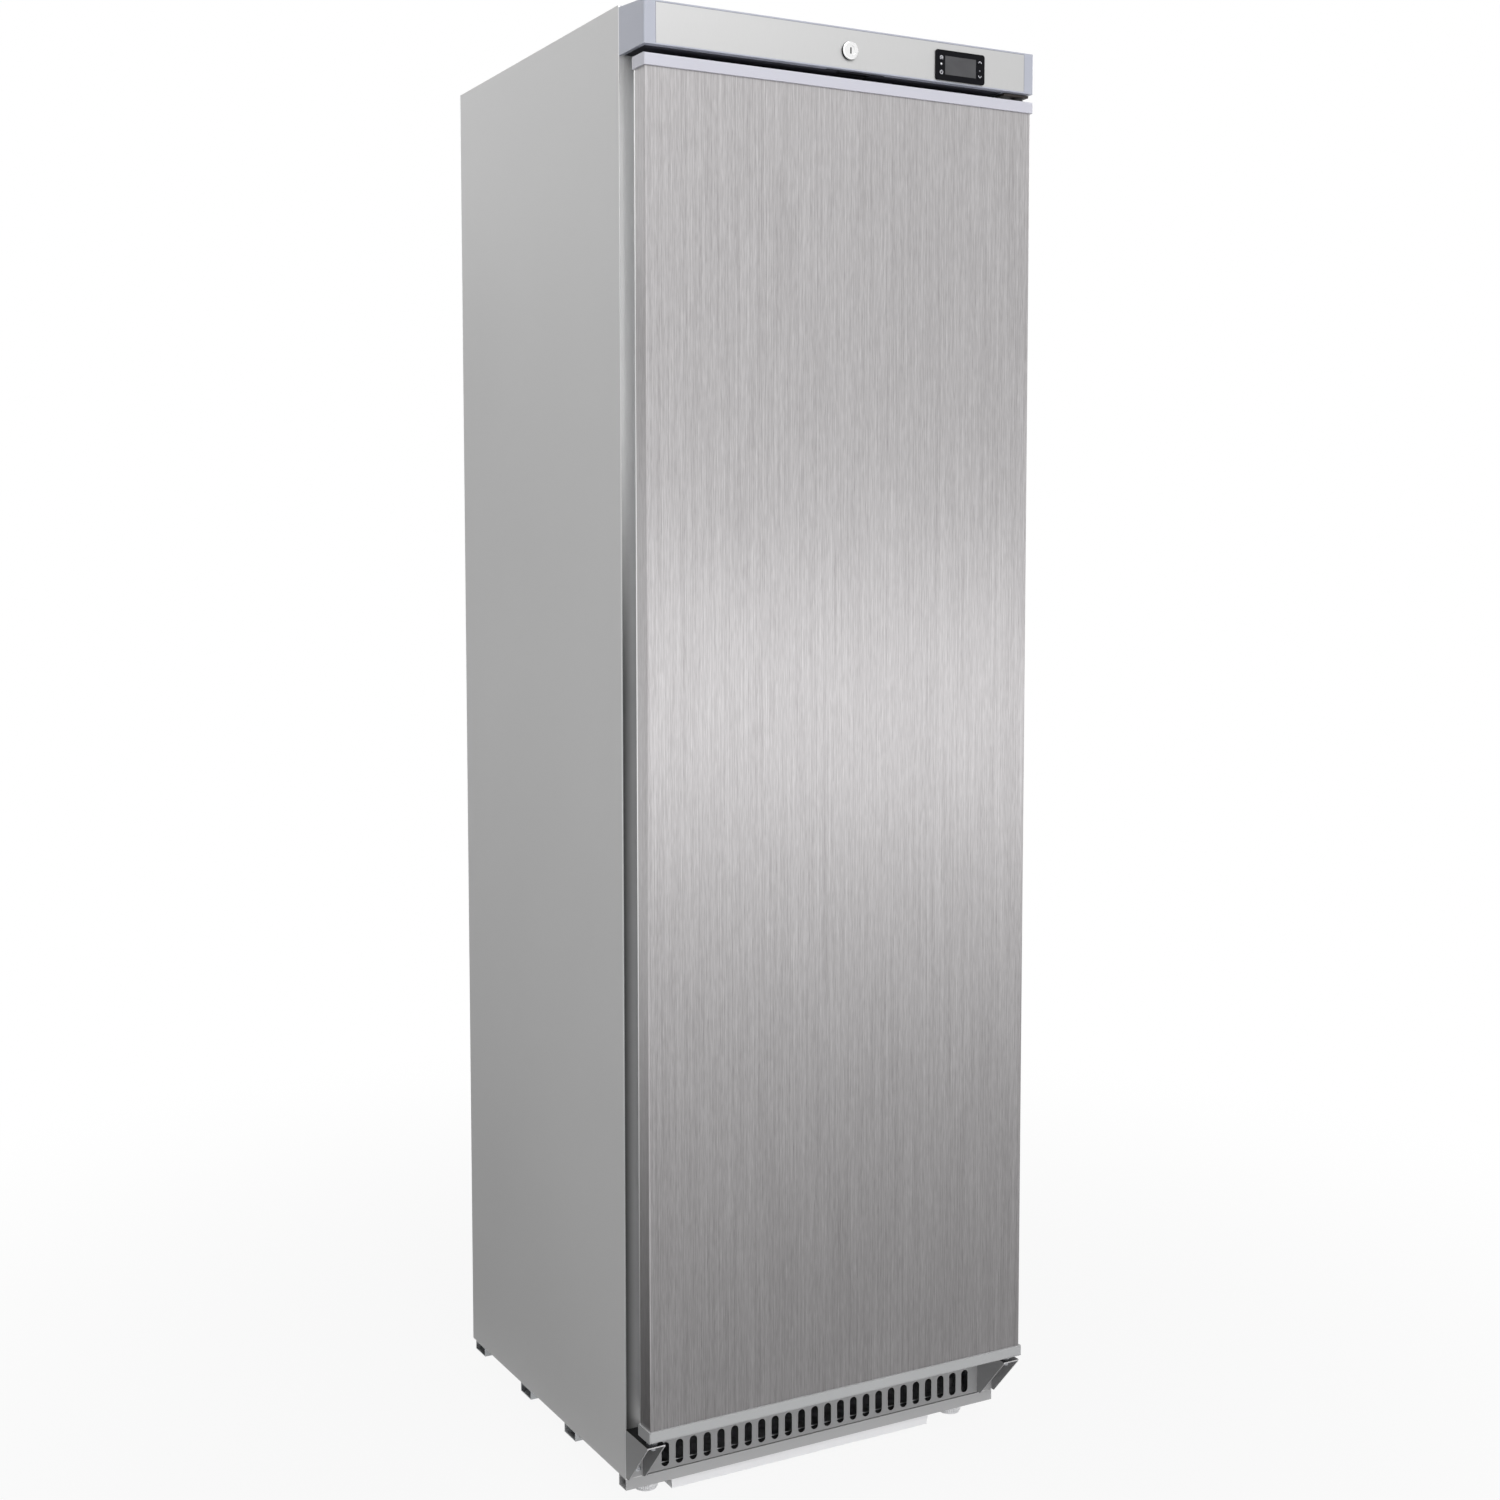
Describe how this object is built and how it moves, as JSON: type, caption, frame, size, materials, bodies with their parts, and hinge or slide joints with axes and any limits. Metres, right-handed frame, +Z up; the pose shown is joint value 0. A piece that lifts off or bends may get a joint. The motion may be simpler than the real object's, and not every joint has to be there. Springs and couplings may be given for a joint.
{
  "type": "commercial refrigerator",
  "caption": "Upright commercial refrigerator with a right-hung brushed steel door, a control panel with key lock above it, wire shelves inside and a slotted grille at the base.",
  "frame": {"origin": "centre of the overall footprint on the floor, under the feet", "axes": "+X to the right seen from the front, +Y to the back, the door faces -Y, +Z up"},
  "size_m": [0.6, 0.604, 1.947],
  "materials": {
    "side_grey": "smooth light grey paint, satin",
    "galvanised": "galvanised sheet",
    "brushed_steel": "upright brushed grain",
    "bright_steel": "bright zinc plate",
    "chrome": "polished chrome plate",
    "grey_plastic": "smooth moulded, satin, slightly lavender",
    "black_plastic": "moulded, satin",
    "white_plastic": "moulded, satin",
    "window": "smoked glossy window",
    "gasket": "soft grey extrusion",
    "rubber": "moulded rubber",
    "foam": "rigid foamed insulation",
    "coated_wire": "white coated wire",
    "motor_black": "black enamel",
    "aluminium": "bare fins and tube",
    "copper": "drawn copper tube"
  },
  "bodies": {
    "cabinet": {"left_side_panel": "side_grey", "right_side_panel": "side_grey", "top_panel": "side_grey", "back_panel": "side_grey", "machine_space_lining": "galvanised", "cabinet_insulation": "foam", "inner_liner": "white_plastic", "base_plate": "galvanised", "front_base_channel": "galvanised", "base_rails": "galvanised", "foot_plates": "galvanised", "front_grille": "side_grey", "lower_hinge_brackets": "side_grey", "top_hinge_plate": "galvanised", "hinge_pins": "bright_steel", "fascia_housing": "grey_plastic", "fascia_insert": "brushed_steel", "lock_body": "chrome", "controller_body": "black_plastic", "controller_window": "window", "tray_runners": "galvanised", "wire_shelf_1": "coated_wire", "wire_shelf_2": "coated_wire", "wire_shelf_3": "coated_wire", "wire_shelf_4": "coated_wire", "shelf_clips": "white_plastic", "evaporator_cover": "white_plastic", "evaporator_fan_motor": "motor_black", "evaporator_coil": "aluminium", "temperature_probe": "chrome", "drain_tube": "white_plastic", "compressor": "motor_black", "compressor_grommets": "rubber", "compressor_terminal_cover": "black_plastic", "condenser_coil": "aluminium", "condenser_fan_motor": "motor_black", "refrigerant_lines": "copper", "rear_grille": "side_grey", "power_gland": "black_plastic", "screws_and_nuts": "bright_steel"},
    "door": {"door_skin": "brushed_steel", "door_top_cap": "grey_plastic", "door_bottom_cap": "grey_plastic", "door_foam": "foam", "door_liner": "white_plastic", "door_gasket": "gasket", "hinge_bushes": "black_plastic"},
    "lock": {"lock_barrel": "chrome", "lock_cam": "bright_steel"},
    "tray": {"drip_tray": "white_plastic"},
    "evaporator_fan": {"evaporator_fan": "black_plastic"},
    "condenser_fan": {"condenser_fan": "black_plastic"},
    "key_up": {"key_up": "black_plastic"},
    "key_down": {"key_down": "black_plastic"},
    "key_defrost": {"key_defrost": "black_plastic"},
    "key_power": {"key_power": "black_plastic"},
    "front_left_foot": {"front_left_foot": "white_plastic"},
    "front_right_foot": {"front_right_foot": "white_plastic"},
    "rear_left_foot": {"rear_left_foot": "white_plastic"},
    "rear_right_foot": {"rear_right_foot": "white_plastic"}
  },
  "joints": [
    {"name": "door_swing", "type": "hinge", "parent": "cabinet", "child": "door", "pos_m": [0.286, -0.279, 1], "axis": [0, 0, 1], "range_deg": [0, 110]},
    {"name": "lock_turn", "type": "hinge", "parent": "cabinet", "child": "lock", "pos_m": [0, -0.298, 1.9085], "axis": [0, 1, 0], "range_deg": [0, 90]},
    {"name": "tray_slide", "type": "slide", "parent": "cabinet", "child": "tray", "axis": [0, -1, 0], "range_m": [0, 0.25]},
    {"name": "key_up_press", "type": "slide", "parent": "cabinet", "child": "key_up", "axis": [0, 1, 0], "range_m": [0, 0.0008], "stiffness_N_per_m": 2500},
    {"name": "key_down_press", "type": "slide", "parent": "cabinet", "child": "key_down", "axis": [0, 1, 0], "range_m": [0, 0.0008], "stiffness_N_per_m": 2500},
    {"name": "key_defrost_press", "type": "slide", "parent": "cabinet", "child": "key_defrost", "axis": [0, 1, 0], "range_m": [0, 0.0008], "stiffness_N_per_m": 2500},
    {"name": "key_power_press", "type": "slide", "parent": "cabinet", "child": "key_power", "axis": [0, 1, 0], "range_m": [0, 0.0008], "stiffness_N_per_m": 2500},
    {"name": "front_left_foot_turn", "type": "hinge", "parent": "cabinet", "child": "front_left_foot", "pos_m": [-0.2515, -0.191, 0], "axis": [0, 0, 1], "continuous": true},
    {"name": "front_right_foot_turn", "type": "hinge", "parent": "cabinet", "child": "front_right_foot", "pos_m": [0.2515, -0.191, 0], "axis": [0, 0, 1], "continuous": true},
    {"name": "rear_left_foot_turn", "type": "hinge", "parent": "cabinet", "child": "rear_left_foot", "pos_m": [-0.2515, 0.217, 0], "axis": [0, 0, 1], "continuous": true},
    {"name": "rear_right_foot_turn", "type": "hinge", "parent": "cabinet", "child": "rear_right_foot", "pos_m": [0.2515, 0.217, 0], "axis": [0, 0, 1], "continuous": true},
    {"name": "evaporator_fan_spin", "type": "hinge", "parent": "cabinet", "child": "evaporator_fan", "pos_m": [0, 0.1615, 1.739], "axis": [0, 1, 0], "continuous": true},
    {"name": "condenser_fan_spin", "type": "hinge", "parent": "cabinet", "child": "condenser_fan", "pos_m": [-0.15, 0.141, 0.1252], "axis": [0, 1, 0], "continuous": true}
  ]
}
